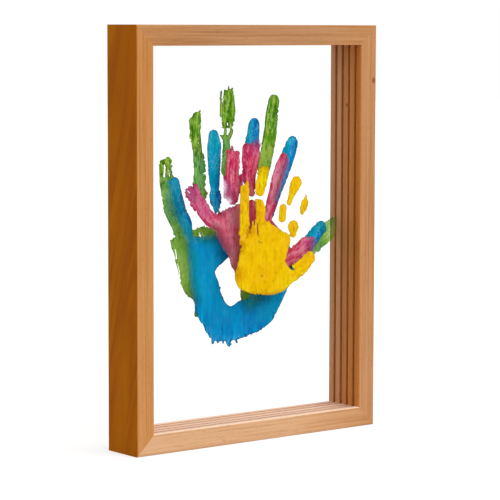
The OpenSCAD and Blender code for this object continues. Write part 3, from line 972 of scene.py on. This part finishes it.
# The noises of the paint, in waves in a metre, and the values at which its marks show
MOTTLE_SCALE = (420, 420, 200)
SPECKLE_SCALE = (1400, 1400, 700)
PATCH_SCALE = (150, 150, 90)
VEIN_SCALE = (330, 330, 90)
CREASE_SCALE = (290, 290, 64)
CREASE_SHIFT = (7, 3, 5)
VEIN_LINE = (0.006, 0.03)
CREASE_LINE = (0.008, 0.03)
VEIN_PATCHES = (0.44, 0.56)
CREASE_PATCHES = (0.56, 0.46)
SPECK_PATCHES = (0.50, 0.58)
SPECK_SIZES = (0.66, 0.72)
CALM_MARKS = (0.1, 1.0, 0.35, 1.0)
TINGE_MOTTLE = (0.35, 0.6, 0.95, 0.7)
RIM_DEPTH = (0.2, 1.1, 1.0, 0.0)
RIM_MOTTLE = (0.38, 0.56, 0.4, 0.9)


def line_mask(tree, wander, half_width, spread):
    """1 along the winding lines where a noise crosses its middle, fading to 0 beside them."""
    off_line = tree.math("ABSOLUTE", tree.math("SUBTRACT", wander, NOISE_MIDDLE))
    return tree.span(off_line, half_width, half_width + spread, 1.0, 0.0)


def paint_material(name, paint):
    """Dried finger paint: streaked, a little see-through where it is thin, darker at its rim."""
    material, tree, shader = new_material(name + "_paint")
    streak, depth, cover, tinge, marks = (
        tree.attribute(key) for key in ("streak", "depth", "cover", "tinge", "marks"))
    mottle = tree.noise(MOTTLE_SCALE, roughness=0.6)
    speckle = tree.noise(SPECKLE_SCALE, detail=2)
    patches = tree.noise(PATCH_SCALE)

    calmed = tree.product(tree.math("SUBTRACT", mottle, NOISE_MIDDLE),
                          tree.span(marks, *CALM_MARKS))
    calmed = tree.math("ADD", calmed, NOISE_MIDDLE)
    tone = tree.weighted(*zip((streak, calmed, speckle), paint["grain"]))
    colour = tree.ramp(tone, *zip(PAINT_PLACES, (paint[key] for key in PAINT_TONES)))
    tinged = tree.math("MULTIPLY", tinge, tree.span(mottle, *TINGE_MOTTLE))
    colour = tree.blend(tinged, colour, paint["tinge"])

    wander = tree.noise(VEIN_SCALE, detail=4, roughness=0.6)
    veins = tree.product(line_mask(tree, wander, *VEIN_LINE),
                         tree.span(patches, *VEIN_PATCHES, 0.0, paint["veins"]), marks)
    colour = tree.blend(veins, colour, paint["vein"])
    wander = tree.noise(CREASE_SCALE, detail=4, roughness=0.6, shift=CREASE_SHIFT)
    creases = tree.product(line_mask(tree, wander, *CREASE_LINE),
                           tree.span(patches, *CREASE_PATCHES, 0.0, paint["creases"]), marks)
    colour = tree.blend(creases, colour, paint["crease"])
    # Pale specks: partly bare spots in the paint, partly painted glints
    specks = tree.product(tree.span(speckle, *SPECK_SIZES, 0.0, paint["specks"]),
                          tree.span(patches, *SPECK_PATCHES), marks)
    colour = tree.blend(specks, colour, CLEAR)
    rim = tree.product(tree.span(depth, *RIM_DEPTH), tree.span(mottle, *RIM_MOTTLE), cover)
    colour = tree.blend(rim, colour, paint["rim"])

    solid = tree.math("MULTIPLY", tree.span(tone, *COVER_TONES, *paint["cover"]), cover)
    tree.put(shader, {
        "Base Color": colour,
        "Roughness": tree.span(mottle, *NOISE_RANGE, *PAINT_ROUGHNESS),
        "Normal": tree.bump(tone, *PAINT_BUMP),
        "Specular IOR Level": PAINT_SHINE,
    })
    tint = tree.blend(tree.span(cover, *TINT_SPAN), CLEAR, paint["through"])
    through = tree.node("ShaderNodeBsdfTransparent", {"Color": tint})
    mixed = tree.node("ShaderNodeMixShader",
                      {"Fac": solid, 1: through.outputs[0], 2: shader.outputs["BSDF"]})
    tree.show(mixed.outputs[0])
    return material


def add_print(name, hand, material):
    """One handprint on the front of its pane, in place of the plain solid."""
    pane_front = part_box("pane_" + name)[0].y
    mesh = print_mesh(name + "_handprint", *print_fields(hand),
                      pane_front - PANE_GAP * MM, hand["streaks"])
    piece = bpy.data.objects.new(name + "_handprint", mesh)
    bpy.context.scene.collection.objects.link(piece)
    mesh.materials.append(material)
    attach(piece, name + "_panel")
    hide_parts("print_" + name)


# Stage and light

WHITE = (1.0, 1.0, 1.0, 1.0)
FLOOR_HALF = 6.0
FLOOR_DROP = 0.2 * MM
FLOOR_GREY = (0.5, 0.5, 0.5, 1.0)
FLOOR_GLOW = 0.62
SKY_STRENGTH = 0.62
SUN_STRENGTH = 1.7
SUN_SOFTNESS = math.radians(70)
SUN_FROM = Vector((0.30, -0.69, 0.72))


def seen_directly(tree):
    """1 for camera, mirror and glass rays, 0 for the rays that light the object."""
    path = tree.node("ShaderNodeLightPath")
    seen = tree.math("MAXIMUM", path.outputs["Is Camera Ray"], path.outputs["Is Glossy Ray"])
    return tree.math("MAXIMUM", seen, path.outputs["Is Transmission Ray"])


def add_floor():
    """A plain white floor that keeps the frame's shadow."""
    mesh = bpy.data.meshes.new("floor")
    corners = [(-FLOOR_HALF, -FLOOR_HALF), (FLOOR_HALF, -FLOOR_HALF),
               (FLOOR_HALF, FLOOR_HALF), (-FLOOR_HALF, FLOOR_HALF)]
    mesh.from_pydata([(x, y, -FLOOR_DROP) for x, y in corners], [], [(0, 1, 2, 3)])
    floor = bpy.data.objects.new("floor", mesh)
    bpy.context.scene.collection.objects.link(floor)
    material = bpy.data.materials.new("floor")
    material.use_nodes = True
    tree = Tree(material.node_tree)
    matt = tree.node("ShaderNodeBsdfDiffuse", {"Color": FLOOR_GREY})
    glow = tree.node("ShaderNodeEmission",
                     {"Strength": tree.math("MULTIPLY", seen_directly(tree), FLOOR_GLOW)})
    both = tree.node("ShaderNodeAddShader", {0: matt.outputs[0], 1: glow.outputs[0]})
    tree.show(both.outputs[0])
    mesh.materials.append(material)


def add_light():
    """An even white surround, and one soft lamp from in front and above, a little to the right."""
    world = bpy.data.worlds.new("surround")
    world.use_nodes = True
    bpy.context.scene.world = world
    tree = Tree(world.node_tree)
    strength = tree.math("MAXIMUM", seen_directly(tree), SKY_STRENGTH)
    sky = tree.node("ShaderNodeBackground", {"Color": WHITE, "Strength": strength})
    tree.node("ShaderNodeOutputWorld", {"Surface": sky.outputs[0]})
    data = bpy.data.lights.new("lamp", "SUN")
    data.energy = SUN_STRENGTH
    data.angle = SUN_SOFTNESS
    lamp = bpy.data.objects.new("lamp", data)
    lamp.rotation_euler = SUN_FROM.to_track_quat("Z", "Y").to_euler()
    bpy.context.scene.collection.objects.link(lamp)


# The whole scene

CLEAR_LAYERS = 32


def set_material(node, material):
    for slot in node.material_slots:
        slot.material = material


def dress_frame():
    """Gives every piece of the frame its material."""
    # Inner tones of the lip, behind it and at the back: painted light and shade inside the frame
    stile_inner_light_shade = tones(246, 170, 104), tones(220, 142, 72), tones(222, 170, 132)
    base_inner_light_shade = tones(245, 210, 178), tones(245, 214, 188), tones(242, 198, 162)
    woods = {
        "left_stile": beech("beech_left", ALONG_Z, tones(211, 146, 85), stile_inner_light_shade, seed=1,
                            shaded_amber_sides=True),
        "right_stile": beech("beech_right", ALONG_Z, tones(206, 147, 98), stile_inner_light_shade, seed=2,
                             shaded_amber_sides=True, knots=KNOTS),
        "top_rail": beech("beech_top", ALONG_X, tones(199, 145, 101), stile_inner_light_shade, seed=3,
                          fade=(0.05, True)),
        "bottom_rail": beech("beech_bottom", ALONG_X, tones(233, 182, 138), base_inner_light_shade, seed=4,
                             groove=BASE_GROOVE_SHADE, fade=(0.03, False)),
    }
    dowel = dowel_wood()
    pane = pane_material()
    for name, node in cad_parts.items():
        if name.startswith(("dowel_", "peg_")):
            set_material(node, dowel)
        elif name.startswith("pane_"):
            set_material(node, pane)
        elif name in woods:
            set_material(node, woods[name])


add_camera()
add_floor()
add_light()
dress_frame()
for paint_name, hand_shape in HANDS.items():
    add_print(paint_name, hand_shape, paint_material(paint_name, PAINTS[paint_name]))

scene = bpy.context.scene
scene.view_settings.view_transform = "Standard"
scene.cycles.transparent_max_bounces = CLEAR_LAYERS
